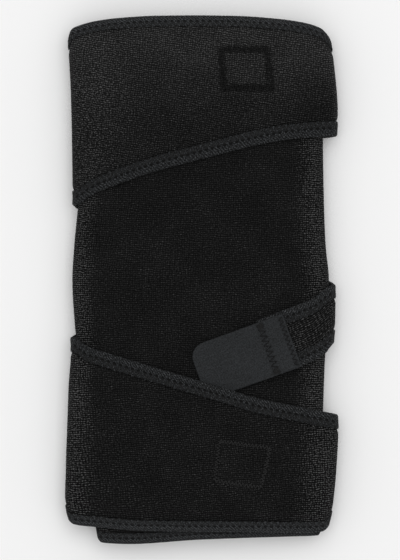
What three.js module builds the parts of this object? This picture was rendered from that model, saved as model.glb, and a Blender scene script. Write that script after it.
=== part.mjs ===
// A knee support of padded black knit, lying flat on its back
//
// A flattened sleeve, open at both ends, carries three bands that are sewn to its back: a wide wrap at the
// thigh, a wide wrap at the calf, and a narrow strap with a smooth hook tab on its end. Each band comes round
// a fold and crosses the front. Lengths are millimetres, +X is to the right as seen from the front, +Y runs
// from the calf end to the thigh end, and +Z points up from the surface that it lies on.
//
// A place on a layer is given by turn, y and depth. The turn goes round the sleeve: 0 at the left fold, 0.5
// in the middle of the front, 1 at the right fold, and below 0 or above 1 behind. The depth is measured
// outward from the sleeve's inner face. Tables give edges by across, the same journey as a share of the
// width: 0 at the left fold, 1 at the right fold, below 0 or above 1 behind.

import * as THREE from "three";

// Overall sizes
const LENGTH = 320;
const WIDTH = 166;
const HOLLOW = 9;

// The sleeve's section as it lies
const FOLD_LEVEL = 0.42; // height of the folds, as a share of the hollow
const FOLD_RUN = 8; // how far in the flat back begins
const SHOULDER = 2.6; // how square the front's shoulders are

// Cloth
const SLEEVE_WALL = 3;
const WRAP_WALL = 3;
const STRAP_WALL = 2.6;
const TAB_WALL = 1.5;
const LAYER_GAP = 0.4;
const PUFF_RUN = 2; // from a binding's inner edge to full thickness

// Binding tape, folded over each bound edge
const TAPE_WALL = 0.6;
const TAPE_GAP = 0.3;
const TAPE_WIDTH = 9; // along a wrap's hem and tip
const RIM_TAPE_WIDTH = 6.4; // round the sleeve's ends and along a wrap's rim
const STRAP_TAPE_WIDTH = 8.5;

// Wraps
const WRAP_SLACK = 15.5; // the most that a wrap's fold stands off the sleeve's
const WRAP_ROOT = -0.45; // across, where a wrap is sewn on behind
const WRAP_TIP = 1.42; // across, where it ends behind
const TIP_RADIUS = 11.6;

// Strap and hook tab
const STRAP_WIDTH = 34;
const STRAP_STAND_OFF = 2.3; // the most that its fold stands off the sleeve's
const TAB_WIDTH = 34;
const TAB_LENGTH = 60.5;
const TAB_RADIUS = 9;
const TAB_DROP = 1.3; // its middle line below the strap's
const TAB_HEADING = 20; // degrees down to the left
const TAB_ACROSS = 0.842; // where its cut end crosses the strap's middle line
const TAB_OVERLAP = 17; // how much of it covers the strap
const TAB_RAMP = 20; // from the strap's level down to the sleeve's
const TUCK_FLAT = 20; // radius round the tucked corner where the lower wrap is lifted
const TUCK_RUN = 22; // and how far out the lift fades

// The sleeve's outside: along from calf to thigh, left and right as shares of the width, and its crown
const SLEEVE_SECTIONS = [
  { along: 0.0, left: 0.115, right: 0.934, crown: 1.0 },
  { along: 0.08, left: 0.1, right: 0.936, crown: 1.0 },
  { along: 0.2, left: 0.071, right: 0.94, crown: 1.0 },
  { along: 0.31, left: 0.046, right: 0.946, crown: 0.97 },
  { along: 0.375, left: 0.042, right: 0.952, crown: 0.92 },
  { along: 0.41, left: 0.034, right: 0.957, crown: 0.88 },
  { along: 0.5, left: 0.024, right: 0.9635, crown: 0.85 },
  { along: 0.565, left: 0.031, right: 0.952, crown: 0.87 },
  { along: 0.62, left: 0.041, right: 0.947, crown: 0.92 },
  { along: 0.66, left: 0.048, right: 0.945, crown: 0.96 },
  { along: 0.76, left: 0.046, right: 0.942, crown: 1.0 },
  { along: 0.85, left: 0.042, right: 0.945, crown: 1.0 },
  { along: 0.96, left: 0.031, right: 0.936, crown: 1.0 },
  { along: 1.0, left: 0.027, right: 0.93, crown: 1.0 },
];

// How far each wrap's folds stand off the sleeve's, as shares of WRAP_SLACK
const UPPER_SLACK = [
  { along: 0.55, left: 0.03, right: 0.3 },
  { along: 0.73, left: 0.03, right: 0.35 },
  { along: 0.81, left: 0.03, right: 0.34 },
  { along: 0.9, left: 0.03, right: 0.23 },
  { along: 1.0, left: 0.06, right: 0.12 },
];
const LOWER_SLACK = [
  { along: 0.02, left: 0.84, right: 0.08 },
  { along: 0.07, left: 0.88, right: 0.23 },
  { along: 0.14, left: 0.7, right: 0.35 },
  { along: 0.215, left: 0.45, right: 0.4 },
  { along: 0.29, left: 0.2, right: 0.34 },
  { along: 0.37, left: 0.04, right: 0.36 },
  { along: 0.5, left: 0.03, right: 0.35 },
];

// How far the strap's fold stands off the sleeve's, as shares of STRAP_STAND_OFF
const STRAP_SLACK = [
  { along: 0.36, right: 1.0 },
  { along: 0.42, right: 0.74 },
  { along: 0.5, right: 0.48 },
];

// Outlines, as shares of the length; an end runs the same behind as in front
const THIGH_RIM = [
  { across: 0.0, along: 0.956 },
  { across: 0.01, along: 0.9687 },
  { across: 0.02, along: 0.9763 },
  { across: 0.05, along: 0.982 },
  { across: 0.11, along: 0.9896 },
  { across: 0.2, along: 0.9953 },
  { across: 0.35, along: 0.9995 },
  { across: 0.5, along: 1.0 },
  { across: 0.66, along: 0.999 },
  { across: 0.8, along: 0.9943 },
  { across: 0.9, along: 0.9873 },
  { across: 0.96, along: 0.978 },
  { across: 0.99, along: 0.963 },
  { across: 1.0, along: 0.952 },
];
const CALF_RIM = [
  { across: 0.0, along: 0.055 },
  { across: 0.009, along: 0.0414 },
  { across: 0.023, along: 0.037 },
  { across: 0.095, along: 0.0324 },
  { across: 0.24, along: 0.0256 },
  { across: 0.81, along: 0.0226 },
  { across: 0.91, along: 0.0218 },
  { across: 0.973, along: 0.0237 },
  { across: 0.994, along: 0.031 },
  { across: 1.0, along: 0.045 },
];
const SLEEVE_RIM = [
  { across: 0.0, along: 0.945 },
  { across: 0.03, along: 0.955 },
  { across: 0.1, along: 0.971 },
  { across: 0.25, along: 0.983 },
  { across: 0.5, along: 0.987 },
  { across: 0.75, along: 0.983 },
  { across: 0.9, along: 0.97 },
  { across: 0.97, along: 0.955 },
  { across: 1.0, along: 0.942 },
];
const SLEEVE_HEM = [
  { across: 0.0, along: 0.026 },
  { across: 0.012, along: 0.0066 },
  { across: 0.03, along: 0.002 },
  { across: 0.15, along: 0.0 },
  { across: 0.46, along: 0.0085 },
  { across: 0.85, along: 0.0142 },
  { across: 0.985, along: 0.0155 },
  { across: 1.0, along: 0.0237 },
];
const UPPER_WRAP_HEM = [
  { across: -0.45, along: 0.557 },
  { across: -0.2, along: 0.6006 },
  { across: -0.05, along: 0.629 },
  { across: 0.0, along: 0.641 },
  { across: 0.03, along: 0.6445 },
  { across: 0.062, along: 0.6567 },
  { across: 0.134, along: 0.6729 },
  { across: 0.313, along: 0.7036 },
  { across: 0.457, along: 0.7225 },
  { across: 0.6, along: 0.7405 },
  { across: 0.743, along: 0.7577 },
  { across: 0.851, along: 0.7668 },
  { across: 0.994, along: 0.7721 },
  { across: 1.05, along: 0.7705 },
  { across: 1.2, along: 0.774 },
  { across: 1.42, along: 0.785 },
];
const LOWER_WRAP_HEM = [
  { across: -0.45, along: 0.4943 },
  { across: -0.2, along: 0.446 },
  { across: -0.05, along: 0.402 },
  { across: 0.0, along: 0.392 },
  { across: 0.02, along: 0.3905 },
  { across: 0.055, along: 0.3767 },
  { across: 0.134, along: 0.363 },
  { across: 0.254, along: 0.3448 },
  { across: 0.616, along: 0.292 },
  { across: 0.7, along: 0.279 },
  { across: 0.869, along: 0.26 },
  { across: 1.0, along: 0.2455 },
  { across: 1.2, along: 0.2249 },
  { across: 1.42, along: 0.2078 },
];

// The strap's middle line from under the tab to its root behind: lean tilts its cross line, in degrees from
// upright, and span is that line's length as a share of the strap's width
const STRAP_ROUTE = [
  { across: 0.74, along: 0.371, lean: 20, span: 1.02 },
  { across: 0.8413, along: 0.3901, lean: 20, span: 1.05 },
  { across: 0.9374, along: 0.412, lean: 12, span: 1.03 },
  { across: 0.975, along: 0.4288, lean: 6, span: 1.05 },
  { across: 1.0, along: 0.4355, lean: 0, span: 1.07 },
  { across: 1.04, along: 0.443, lean: 0, span: 1.08 },
  { across: 1.1, along: 0.4575, lean: 0, span: 1.1 },
  { across: 1.25, along: 0.497, lean: 0, span: 1.12 },
  { across: 1.42, along: 0.54, lean: 0, span: 1.12 },
];

// How finely the faces are cut
const TURN_STEPS = 20; // over the front, and as many behind
const SLEEVE_ROWS = 14;
const WRAP_ROWS = 4;
const STRAP_ROWS = 3;
const TAB_ROWS = 6;
const CORNER_STEPS = 4;
const MEASURE_STEPS = 400;

// Levels that follow from the sizes
const WRAP_DEPTH = SLEEVE_WALL + LAYER_GAP;
const BACK_LEVEL = WRAP_DEPTH + WRAP_WALL; // the sleeve's inner face behind, above the surface
const FOLD_HEIGHT = BACK_LEVEL + FOLD_LEVEL * HOLLOW;
const CROWN_RISE = (1 - FOLD_LEVEL) * HOLLOW;
const OUTER_DEPTH = WRAP_DEPTH + WRAP_WALL;
const TAPE_INSET = TAPE_WALL + TAPE_GAP; // cloth's own edge, inside the folded tape

const knit = new THREE.MeshStandardMaterial({ color: 0x202022, roughness: 0.95, metalness: 0 });
const tape = new THREE.MeshStandardMaterial({ color: 0x26272a, roughness: 0.9, metalness: 0 });
const hookCloth = new THREE.MeshStandardMaterial({ color: 0x2b2c2e, roughness: 0.7, metalness: 0 });
const support = new THREE.Group();

// A smooth curve through a table's rows, which never swings past them
function curve(rows, from, to) {
  const x = rows.map((row) => row[from]);
  const y = rows.map((row) => row[to]);
  const last = rows.length - 1;
  const grade = (i) => (y[i + 1] - y[i]) / (x[i + 1] - x[i]);
  const slope = x.map((_, i) => {
    if (i === 0) return grade(0);
    if (i === last) return grade(last - 1);
    const before = grade(i - 1);
    const after = grade(i);
    return before * after <= 0 ? 0 : (2 * before * after) / (before + after);
  });
  return (at) => {
    if (at <= x[0]) return y[0];
    if (at >= x[last]) return y[last];
    const i = x.findLastIndex((edge) => edge <= at);
    const run = x[i + 1] - x[i];
    const u = (at - x[i]) / run;
    const rise = y[i + 1] - y[i];
    const bend = u * (1 - u) * run * (slope[i] * (1 - u) - slope[i + 1] * u);
    return y[i] + rise * u * u * (3 - 2 * u) + bend;
  };
}

function ease(u) {
  const held = Math.min(Math.max(u, 0), 1);
  return held * held * (3 - 2 * held);
}

const sleeveLeft = curve(SLEEVE_SECTIONS, "along", "left");
const sleeveRight = curve(SLEEVE_SECTIONS, "along", "right");
const sleeveCrown = curve(SLEEVE_SECTIONS, "along", "crown");

function alongOf(y) {
  return y / LENGTH + 0.5;
}

function yOf(along) {
  return (along - 0.5) * LENGTH;
}

// The sleeve's inner face at one y: its middle and half width
function section(y) {
  const along = alongOf(y);
  const left = (sleeveLeft(along) - 0.5) * WIDTH + SLEEVE_WALL;
  const right = (sleeveRight(along) - 0.5) * WIDTH - SLEEVE_WALL;
  return { middle: (left + right) / 2, half: (right - left) / 2, rise: CROWN_RISE * sleeveCrown(along) };
}

function innerFace(turn, y) {
  const { middle, half, rise } = section(y);
  const c = Math.cos(Math.PI * turn);
  const s = Math.sin(Math.PI * turn);
  const out = Math.abs(c) ** (2 / SHOULDER);
  const x = middle - Math.sign(c) * half * out;
  if (s >= 0) {
    return [x, FOLD_HEIGHT + rise * s ** (2 / SHOULDER)];
  }
  const flat = 1 - FOLD_RUN / half;
  const u = Math.max(out - flat, 0) / (1 - flat);
  return [x, FOLD_HEIGHT - (FOLD_HEIGHT - BACK_LEVEL) * Math.sqrt(1 - u * u)];
}

// A point of a layer: slack gives how far its left and right folds stand off
function place(turn, y, depth, slack = null) {
  const step = 1e-4;
  const [x, z] = innerFace(turn, y);
  const [x0, z0] = innerFace(turn - step, y);
  const [x1, z1] = innerFace(turn + step, y);
  const size = Math.hypot(x1 - x0, z1 - z0);
  let atX = x - (depth * (z1 - z0)) / size;
  if (slack) {
    const c = Math.cos(Math.PI * turn);
    const pull = Math.abs(c) ** (6 / SHOULDER);
    const along = alongOf(y);
    atX += pull * (c < 0 ? slack.right(along) : -slack.left(along));
  }
  return [atX, y, z + (depth * (x1 - x0)) / size];
}

// The outside's left edge and width at one y, where a band lies close
function outside(y) {
  const left = place(0, y, OUTER_DEPTH)[0];
  return { left, width: place(1, y, OUTER_DEPTH)[0] - left };
}

// Between a turn and the share across, measured over the front's outside half way along
const measure = Array.from({ length: MEASURE_STEPS + 1 }, (_, i) => {
  const turn = i / MEASURE_STEPS;
  const { left, width } = outside(0);
  return { turn, across: (place(turn, 0, OUTER_DEPTH)[0] - left) / width };
});
const frontAcross = curve(measure, "turn", "across");
const frontTurn = curve(measure, "across", "turn");

function acrossOf(turn) {
  if (turn < 0) return -frontAcross(-turn);
  if (turn > 1) return 2 - frontAcross(2 - turn);
  return frontAcross(turn);
}

function turnOf(across) {
  if (across < 0) return -frontTurn(-across);
  if (across > 1) return 2 - frontTurn(2 - across);
  return frontTurn(across);
}

// Millimetres to shares across, at one y
function acrossPer(y) {
  return 1 / outside(y).width;
}

// The share across of a point seen from the front
function acrossAt(x, y) {
  const { left, width } = outside(y);
  return (x - left) / width;
}

// Solids from grids of points

function addSolid(name, points, quads, material) {
  const triangles = quads.flatMap(([a, b, c, d]) => [
    [a, b, c],
    [a, c, d],
  ]);
  const corner = (i) => new THREE.Vector3(...points[i]);
  const volume = triangles.reduce((sum, [a, b, c]) => sum + corner(a).dot(corner(b).cross(corner(c))), 0);
  const order = volume < 0 ? triangles.map(([a, b, c]) => [a, c, b]) : triangles;
  const geometry = new THREE.BufferGeometry();
  geometry.setAttribute("position", new THREE.Float32BufferAttribute(points.flat(), 3));
  geometry.setIndex(order.flat());
  geometry.computeVertexNormals();
  const mesh = new THREE.Mesh(geometry, material);
  mesh.name = name;
  support.add(mesh);
}

// A wall between two grids of the same size, which goes all the way round where around is true
function addWall(name, inner, outer, around, material) {
  const columns = inner.length;
  const rows = inner[0].length;
  const at = (side, i, j) => side * columns * rows + (i % columns) * rows + j;
  const quads = [];
  const spans = around ? columns : columns - 1;
  for (let i = 0; i < spans; i++) {
    for (let j = 0; j < rows - 1; j++) {
      quads.push([at(0, i, j), at(0, i, j + 1), at(0, i + 1, j + 1), at(0, i + 1, j)]);
      quads.push([at(1, i, j), at(1, i + 1, j), at(1, i + 1, j + 1), at(1, i, j + 1)]);
    }
    const top = rows - 1;
    quads.push([at(0, i, 0), at(0, i + 1, 0), at(1, i + 1, 0), at(1, i, 0)]);
    quads.push([at(0, i, top), at(1, i, top), at(1, i + 1, top), at(0, i + 1, top)]);
  }
  if (!around) {
    const end = columns - 1;
    for (let j = 0; j < rows - 1; j++) {
      quads.push([at(0, 0, j), at(1, 0, j), at(1, 0, j + 1), at(0, 0, j + 1)]);
      quads.push([at(0, end, j), at(0, end, j + 1), at(1, end, j + 1), at(1, end, j)]);
    }
  }
  addSolid(name, [...inner.flat(), ...outer.flat()], quads, material);
}

// The tape's section, a U folded over an edge: in is the way in from the edge, off the way off mid-cloth
function tapeSection(wall, width) {
  const outside = wall / 2;
  const inside = outside - TAPE_WALL;
  return [
    { in: width, off: outside },
    { in: 0, off: outside },
    { in: 0, off: -outside },
    { in: width, off: -outside },
    { in: width, off: -inside },
    { in: TAPE_WALL, off: -inside },
    { in: TAPE_WALL, off: inside },
    { in: width, off: inside },
  ];
}

// A tape through stations, each a ring of the U's eight points. Its faces are split the same way as those of
// the cloth in it, for stations that run with the turn on a low edge and, from backFrom on, against it on a
// high edge.
function addTape(name, stations, around, backFrom) {
  const size = stations[0].length;
  const count = stations.length;
  const at = (i, k) => (i % count) * size + (k % size);
  const legsToEdge = [0, 4];
  const fold = 5;
  const quads = [];
  for (let i = 0; i < (around ? count : count - 1); i++) {
    for (let k = 0; k < size; k++) {
      const quad = [at(i, k), at(i + 1, k), at(i + 1, k + 1), at(i, k + 1)];
      const other = legsToEdge.includes(k) || (k === fold && i >= backFrom);
      quads.push(other ? [quad[3], ...quad.slice(0, 3)] : quad);
    }
  }
  if (!around) {
    const legs = [
      [0, 1, 6, 7],
      [1, 2, 5, 6],
      [2, 3, 4, 5],
    ];
    const last = count - 1;
    for (const [a, b, c, d] of legs) {
      quads.push([at(0, a), at(0, b), at(0, c), at(0, d)]);
      quads.push([at(last, d), at(last, c), at(last, b), at(last, a)]);
    }
  }
  addSolid(name, stations.flat(), quads, tape);
}

// How thick cloth is, as a share of full, at a distance in from the tape's inner edge
function puff(distance, wall) {
  const pinched = 1 - (2 * TAPE_INSET) / wall;
  return pinched + (1 - pinched) * ease((distance - TAPE_GAP) / PUFF_RUN);
}

// Sleeve

const thighRim = curve(THIGH_RIM, "across", "along");
const calfRim = curve(CALF_RIM, "across", "along");
const sleeveHem = curve(SLEEVE_HEM, "across", "along");
const sleeveRim = curve(SLEEVE_RIM, "across", "along");

// The share across as seen from the front, for an edge that runs the same behind
function seenFromFront(across) {
  return across < 0 ? -across : across > 1 ? 2 - across : across;
}

function sleeveEnds(turn) {
  const across = seenFromFront(acrossOf(turn > 1.5 ? turn - 2 : turn));
  return { low: yOf(sleeveHem(across)), high: yOf(sleeveRim(across)) };
}

function addSleeve() {
  const inner = [];
  const outer = [];
  const turns = Array.from({ length: 2 * TURN_STEPS }, (_, i) => i / TURN_STEPS);
  for (const turn of turns) {
    const { low, high } = sleeveEnds(turn);
    const bound = RIM_TAPE_WIDTH + TAPE_GAP;
    const full = bound + PUFF_RUN;
    const ys = [low + TAPE_INSET, low + bound];
    for (let j = 0; j <= SLEEVE_ROWS; j++) {
      ys.push(low + full + ((high - low - 2 * full) * j) / SLEEVE_ROWS);
    }
    ys.push(high - bound, high - TAPE_INSET);
    const half = (y) => (SLEEVE_WALL / 2) * puff(Math.min(y - low, high - y) - RIM_TAPE_WIDTH, SLEEVE_WALL);
    inner.push(ys.map((y) => place(turn, y, SLEEVE_WALL / 2 - half(y))));
    outer.push(ys.map((y) => place(turn, y, SLEEVE_WALL / 2 + half(y))));
  }
  addWall("sleeve", inner, outer, true, knit);
  for (const [name, end, way] of [
    ["sleeve_bottom_binding", "low", 1],
    ["sleeve_top_binding", "high", -1],
  ]) {
    const stations = turns.map((turn) => {
      const edge = sleeveEnds(turn)[end];
      return tapeSection(SLEEVE_WALL, RIM_TAPE_WIDTH).map((p) =>
        place(turn, edge + way * p.in, SLEEVE_WALL / 2 + p.off),
      );
    });
    addTape(name, way > 0 ? stations : stations.reverse(), true, way > 0 ? Infinity : 0);
  }
}

const strapRoute = Object.fromEntries(
  ["along", "lean", "span"].map((key) => [key, curve(STRAP_ROUTE, "across", key)]),
);

// Hook tab: its own frame has length running from the cut end over the strap to the round end

const tabAngle = THREE.MathUtils.degToRad(TAB_HEADING);

function tabPoint(length, side) {
  const startY = yOf(strapRoute.along(TAB_ACROSS));
  const { left, width } = outside(startY);
  const up = side - TAB_DROP;
  const x = left + TAB_ACROSS * width - length * Math.cos(tabAngle) - up * Math.sin(tabAngle);
  const y = startY - length * Math.sin(tabAngle) + up * Math.cos(tabAngle);
  return [x, y];
}

function tabDepth(length) {
  const over = STRAP_WALL + LAYER_GAP;
  return WRAP_DEPTH + over * (1 - ease((length - TAB_OVERLAP - LAYER_GAP) / TAB_RAMP));
}

function addHookTab() {
  const round = TAB_LENGTH - TAB_RADIUS;
  const lengths = [0, TAB_OVERLAP / 2, TAB_OVERLAP + LAYER_GAP];
  for (let k = 1; k <= 3; k++) {
    lengths.push(TAB_OVERLAP + LAYER_GAP + (TAB_RAMP * k) / 3);
  }
  const flatStart = lengths.at(-1);
  for (let k = 1; k <= 3; k++) {
    lengths.push(flatStart + ((round - flatStart) * k) / 3);
  }
  for (let k = 1; k <= CORNER_STEPS; k++) {
    lengths.push(round + TAB_RADIUS * Math.sin((k / CORNER_STEPS) * (Math.PI / 2)));
  }
  const inner = [];
  const outer = [];
  for (const length of lengths) {
    const past = Math.max(length - round, 0);
    const half = TAB_WIDTH / 2 - TAB_RADIUS + Math.sqrt(Math.max(TAB_RADIUS ** 2 - past ** 2, 0));
    const below = [];
    const above = [];
    for (let j = 0; j <= TAB_ROWS; j++) {
      const [x, y] = tabPoint(length, half * ((2 * j) / TAB_ROWS - 1));
      const turn = turnOf(acrossAt(x, y));
      below.push(place(turn, y, tabDepth(length)));
      above.push(place(turn, y, tabDepth(length) + TAB_WALL));
    }
    inner.push(below);
    outer.push(above);
  }
  addWall("hook_tab", inner, outer, false, hookCloth);
}

// The lower wrap rises over the tab's tucked corner
const tuckPoint = tabPoint(TAB_LENGTH - TAB_RADIUS, -TAB_WIDTH / 2);

function tuckLift(turn, y) {
  if (turn < 0 || turn > 1) return 0;
  const { left, width } = outside(y);
  const away = Math.hypot(left + acrossOf(turn) * width - tuckPoint[0], y - tuckPoint[1]);
  return (TAB_WALL + LAYER_GAP) * (1 - ease((away - TUCK_FLAT) / TUCK_RUN));
}

// Wraps

function wrapPlace(wrap, turn, y, depth) {
  return place(turn, y, WRAP_DEPTH + depth + wrap.lift(turn, y), wrap.slack);
}

// A wrap's columns from root to tip, with its outline drawn in by an inset: each has a turn, the outline's
// low and high points there, how far it is from the tip, and how far round the tip's corners it is
function wrapColumns(wrap, inset) {
  const columns = [];
  const add = (turn, cut, tip, angle) => {
    const across = acrossOf(turn);
    columns.push({ turn, low: wrap.low(across) + cut, high: wrap.high(across) - cut, tip, angle });
  };
  const perMm = acrossPer((wrap.low(WRAP_TIP) + wrap.high(WRAP_TIP)) / 2);
  const first = Math.ceil(turnOf(WRAP_ROOT) * TURN_STEPS + 0.5);
  const roundFrom = turnOf(WRAP_TIP - TIP_RADIUS * perMm);
  add(turnOf(WRAP_ROOT), inset, Infinity, 0);
  for (let k = first; k / TURN_STEPS < roundFrom - 0.01; k++) {
    add(k / TURN_STEPS, inset, Infinity, 0);
  }
  const radius = TIP_RADIUS - inset;
  const tapeEnd = Math.asin((TIP_RADIUS - TAPE_WIDTH - TAPE_GAP) / radius);
  const angles = [0, tapeEnd];
  for (let k = 1; k <= CORNER_STEPS; k++) {
    angles.push(tapeEnd + ((Math.PI / 2 - tapeEnd) * k) / CORNER_STEPS);
  }
  for (const angle of angles) {
    const tip = TIP_RADIUS - radius * Math.sin(angle);
    add(turnOf(WRAP_TIP - tip * perMm), TIP_RADIUS - radius * Math.cos(angle), tip, angle);
  }
  return columns;
}

function addWrap(name, wrap) {
  const inner = [];
  const outer = [];
  for (const { turn, low, high, tip } of wrapColumns(wrap, TAPE_INSET)) {
    const across = acrossOf(turn);
    const hem = wrap.low(across) + wrap.lowTape;
    const top = wrap.high(across) - wrap.highTape;
    const ys = [low];
    const tops = [high];
    for (const [k, beyond] of [TAPE_GAP, TAPE_GAP + PUFF_RUN].entries()) {
      ys.push(Math.max(hem + beyond, low + (k + 1) * TAPE_INSET));
      tops.unshift(Math.min(top - beyond, high - (k + 1) * TAPE_INSET));
    }
    for (let j = 1; j < WRAP_ROWS; j++) {
      ys.push(ys[2] + ((tops[0] - ys[2]) * j) / WRAP_ROWS);
    }
    ys.push(...tops);
    const half = (y) => (WRAP_WALL / 2) * puff(Math.min(y - hem, top - y, tip - TAPE_WIDTH), WRAP_WALL);
    inner.push(ys.map((y) => wrapPlace(wrap, turn, y, WRAP_WALL / 2 - half(y))));
    outer.push(ys.map((y) => wrapPlace(wrap, turn, y, WRAP_WALL / 2 + half(y))));
  }
  addWall(name, inner, outer, false, knit);
  const stations = wrapStations(wrap);
  addTape(`${name}_binding`, stations, false, stations.length / 2);
}

// Round the wrap's bound edge: out along the hem, round the tip, and back along the other side
function wrapStations(wrap) {
  const columns = wrapColumns(wrap, 0);
  const width = (side, angle) => side + (TAPE_WIDTH - side) * Math.sin(angle);
  const edge = columns.map(({ turn, low, angle }) => {
    return { turn, y: low, angle, way: 1, wide: width(wrap.lowTape, angle) };
  });
  const back = columns.map(({ turn, high, angle }) => {
    return { turn, y: high, angle, way: -1, wide: width(wrap.highTape, angle) };
  });
  return [...edge, ...back.reverse()].map(({ turn, y, angle, way, wide }) =>
    tapeSection(WRAP_WALL, wide).map((p) => {
      const inward = acrossOf(turn) - Math.sin(angle) * p.in * acrossPer(y);
      const at = angle === 0 ? turn : turnOf(inward);
      return wrapPlace(wrap, at, y + way * Math.cos(angle) * p.in, WRAP_WALL / 2 + p.off);
    }),
  );
}

function slackOf(rows) {
  const left = curve(rows, "along", "left");
  const right = curve(rows, "along", "right");
  return { left: (along) => WRAP_SLACK * left(along), right: (along) => WRAP_SLACK * right(along) };
}

const upperHem = curve(UPPER_WRAP_HEM, "across", "along");
const lowerHem = curve(LOWER_WRAP_HEM, "across", "along");

const upperWrap = {
  slack: slackOf(UPPER_SLACK),
  lift: () => 0,
  lowTape: TAPE_WIDTH,
  highTape: RIM_TAPE_WIDTH,
  low: (across) => yOf(upperHem(across)),
  high: (across) => yOf(thighRim(seenFromFront(across))),
};
const lowerWrap = {
  slack: slackOf(LOWER_SLACK),
  lift: tuckLift,
  lowTape: RIM_TAPE_WIDTH,
  highTape: TAPE_WIDTH,
  low: (across) => yOf(calfRim(seenFromFront(across))),
  high: (across) => yOf(lowerHem(across)),
};

// Strap

const strapStandOff = curve(STRAP_SLACK, "along", "right");
const strapSlack = { left: () => 0, right: (along) => STRAP_STAND_OFF * strapStandOff(along) };

// A point of the strap's outline plane: side is in millimetres up from its middle line
function strapAt(across, side) {
  const lean = THREE.MathUtils.degToRad(strapRoute.lean(across));
  const y = yOf(strapRoute.along(across)) + side * Math.cos(lean);
  return { turn: turnOf(across - side * Math.sin(lean) * acrossPer(y)), y };
}

function addStrap() {
  const perMm = acrossPer(yOf(strapRoute.along(TAB_ACROSS)));
  const start = TAB_ACROSS - (TAB_OVERLAP - LAYER_GAP) * Math.cos(tabAngle) * perMm;
  const end = STRAP_ROUTE.at(-1).across;
  const stops = [start, TAB_ACROSS];
  for (let k = Math.ceil(turnOf(TAB_ACROSS) * TURN_STEPS + 0.5); k / TURN_STEPS < turnOf(end) - 0.02; k++) {
    stops.push(acrossOf(k / TURN_STEPS));
  }
  stops.push(end);
  const bound = STRAP_TAPE_WIDTH + TAPE_GAP;
  const full = bound + PUFF_RUN;
  const inner = [];
  const outer = [];
  for (const across of stops) {
    const half = (STRAP_WIDTH * strapRoute.span(across)) / 2;
    const sides = [-half + TAPE_INSET, -half + bound];
    for (let j = 0; j <= STRAP_ROWS; j++) {
      sides.push(-half + full + (2 * (half - full) * j) / STRAP_ROWS);
    }
    sides.push(half - bound, half - TAPE_INSET);
    const layer = (way) =>
      sides.map((side) => {
        const { turn, y } = strapAt(across, side);
        const thick = (STRAP_WALL / 2) * puff(half - Math.abs(side) - STRAP_TAPE_WIDTH, STRAP_WALL);
        return place(turn, y, WRAP_DEPTH + STRAP_WALL / 2 + way * thick, strapSlack);
      });
    inner.push(layer(-1));
    outer.push(layer(1));
  }
  addWall("strap", inner, outer, false, knit);
  for (const [name, way] of [
    ["strap_upper_binding", 1],
    ["strap_lower_binding", -1],
  ]) {
    const stations = stops.map((across) => {
      const half = (STRAP_WIDTH * strapRoute.span(across)) / 2;
      return tapeSection(STRAP_WALL, STRAP_TAPE_WIDTH).map((p) => {
        const { turn, y } = strapAt(across, way * (half - p.in));
        return place(turn, y, WRAP_DEPTH + STRAP_WALL / 2 + p.off, strapSlack);
      });
    });
    addTape(name, way < 0 ? stations : stations.reverse(), false, way < 0 ? Infinity : 0);
  }
}

addSleeve();
addWrap("upper_wrap", upperWrap);
addWrap("lower_wrap", lowerWrap);
addStrap();
addHookTab();

export default support;
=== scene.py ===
# The looks of a knee support of padded black knit, lying flat on a pale floor

import math

import bpy
import numpy as np
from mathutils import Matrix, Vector


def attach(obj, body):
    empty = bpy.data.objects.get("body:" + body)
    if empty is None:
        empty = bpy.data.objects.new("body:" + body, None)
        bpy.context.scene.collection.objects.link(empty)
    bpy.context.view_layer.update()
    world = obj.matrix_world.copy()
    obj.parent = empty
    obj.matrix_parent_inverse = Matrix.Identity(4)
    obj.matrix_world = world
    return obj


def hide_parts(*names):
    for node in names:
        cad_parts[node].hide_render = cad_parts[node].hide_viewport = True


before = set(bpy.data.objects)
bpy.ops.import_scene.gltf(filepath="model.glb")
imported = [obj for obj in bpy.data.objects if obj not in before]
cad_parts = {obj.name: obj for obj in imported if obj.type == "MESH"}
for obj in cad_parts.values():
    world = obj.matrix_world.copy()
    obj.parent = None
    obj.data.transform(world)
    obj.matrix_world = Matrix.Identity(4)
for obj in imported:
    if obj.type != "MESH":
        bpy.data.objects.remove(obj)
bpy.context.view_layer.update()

# Sizes are in millimetres, and MM turns them into metres. The sleeve, its layers and the tables of their
# edges are the model's own. A place on a layer is given by its turn, its y and its depth. The turn goes
# round the sleeve: 0 at the left fold, 0.5 in the middle of the front, 1 at the right fold, and below 0
# or above 1 behind. The share across is the same journey measured over the width. The depth is outward
# from the inner face.
MM = 0.001

# Overall sizes and the sleeve's section
LENGTH = 320
WIDTH = 166
HOLLOW = 9
FOLD_LEVEL = 0.42
FOLD_RUN = 8
SHOULDER = 2.6

# Cloth and tape
SLEEVE_WALL = 3
WRAP_WALL = 3
STRAP_WALL = 2.6
TAB_WALL = 1.5
LAYER_GAP = 0.4
TAPE_WALL = 0.6
TAPE_GAP = 0.3
TAPE_INSET = TAPE_WALL + TAPE_GAP
TAPE_WIDTH = 9
RIM_TAPE_WIDTH = 6.4
STRAP_TAPE_WIDTH = 8.5

# Wraps, strap and tab
WRAP_SLACK = 15.5
WRAP_ROOT = -0.45
WRAP_TIP = 1.42
TIP_RADIUS = 11.6
STRAP_WIDTH = 34
STRAP_STAND_OFF = 2.3
TAB_WIDTH = 34
TAB_LENGTH = 60.5
TAB_RADIUS = 9
TAB_DROP = 1.3
TAB_HEADING = math.radians(20)
TAB_ACROSS = 0.842
TAB_OVERLAP = 17
TAB_RAMP = 20
TUCK_FLAT = 20
TUCK_RUN = 22

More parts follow.
